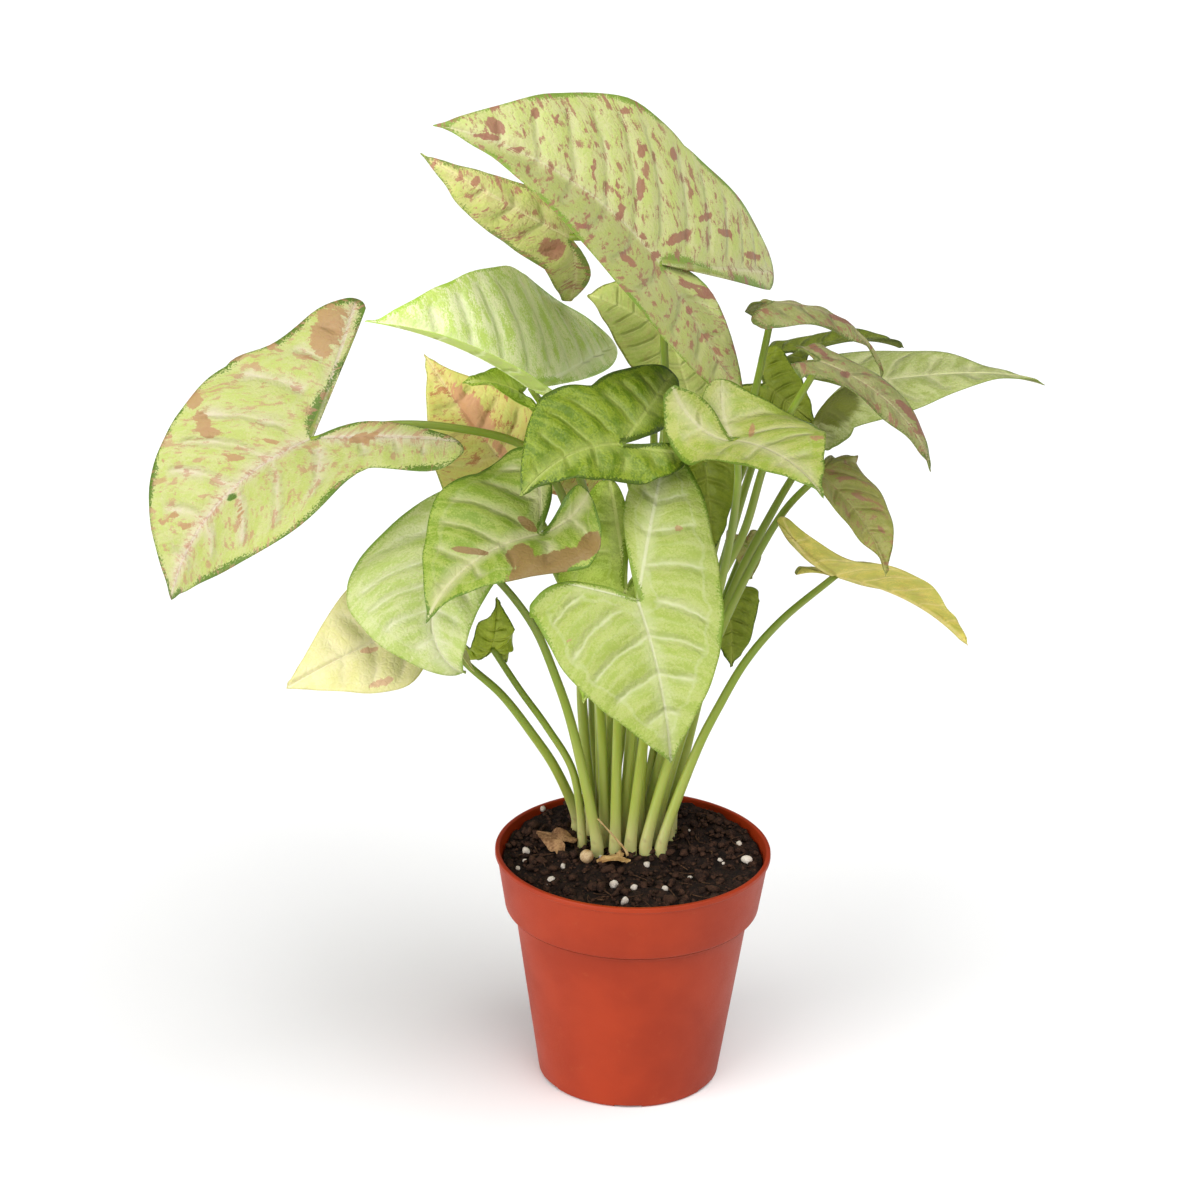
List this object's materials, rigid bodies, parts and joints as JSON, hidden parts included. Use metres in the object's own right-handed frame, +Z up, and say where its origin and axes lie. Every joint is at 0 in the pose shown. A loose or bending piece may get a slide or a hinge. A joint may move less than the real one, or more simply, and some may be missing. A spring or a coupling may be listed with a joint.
{
  "type": "potted plant",
  "caption": "Arrowhead plant with variegated arrow-shaped leaves on slender stems, growing from soil in a round tapered plastic nursery pot.",
  "frame": {"origin": "the middle of the pot's base, on the surface that the pot stands on", "axes": "+Z up; the plant's front, with the long front leaves, faces -Y; +X is to the right seen from the front"},
  "size_m": [0.3356, 0.1764, 0.4013],
  "materials": {
    "pot": "matte",
    "soil": "matte",
    "flecked": "satin",
    "pale": "satin",
    "rosy": "satin",
    "green": "satin",
    "deep": "satin",
    "veined": "satin",
    "olive": "satin",
    "stem": "satin",
    "dry": "matte",
    "bead": "matte",
    "root": "matte",
    "perlite": "matte"
  },
  "bodies": {
    "root": {"pot": "pot", "soil": "soil", "leaf_top": "flecked", "leaf_top_back": "flecked", "leaf_upper_left": "pale", "leaf_left_big": "flecked", "leaf_rose": "rosy", "leaf_centre": "green", "leaf_right_centre": "green", "leaf_left_low": "green", "leaf_front": "veined", "leaf_front_back": "veined", "leaf_pale_left": "veined", "leaf_pale_low": "pale", "leaf_curl_left": "deep", "leaf_small_dark": "deep", "leaf_mid_back": "olive", "leaf_inner": "olive", "leaf_right_upper": "flecked", "leaf_right_back": "deep", "leaf_sickle": "green", "leaf_right_long": "pale", "leaf_right_droop": "olive", "leaf_yellow": "olive", "leaf_right_shadow": "deep", "leaf_stem_dark": "deep", "leaf_curl_dark": "deep", "leaf_curl_olive": "olive", "dry_leaf": "dry", "dry_scrap": "dry", "bead": "bead", "root_bit": "root"}
  },
  "joints": []
}
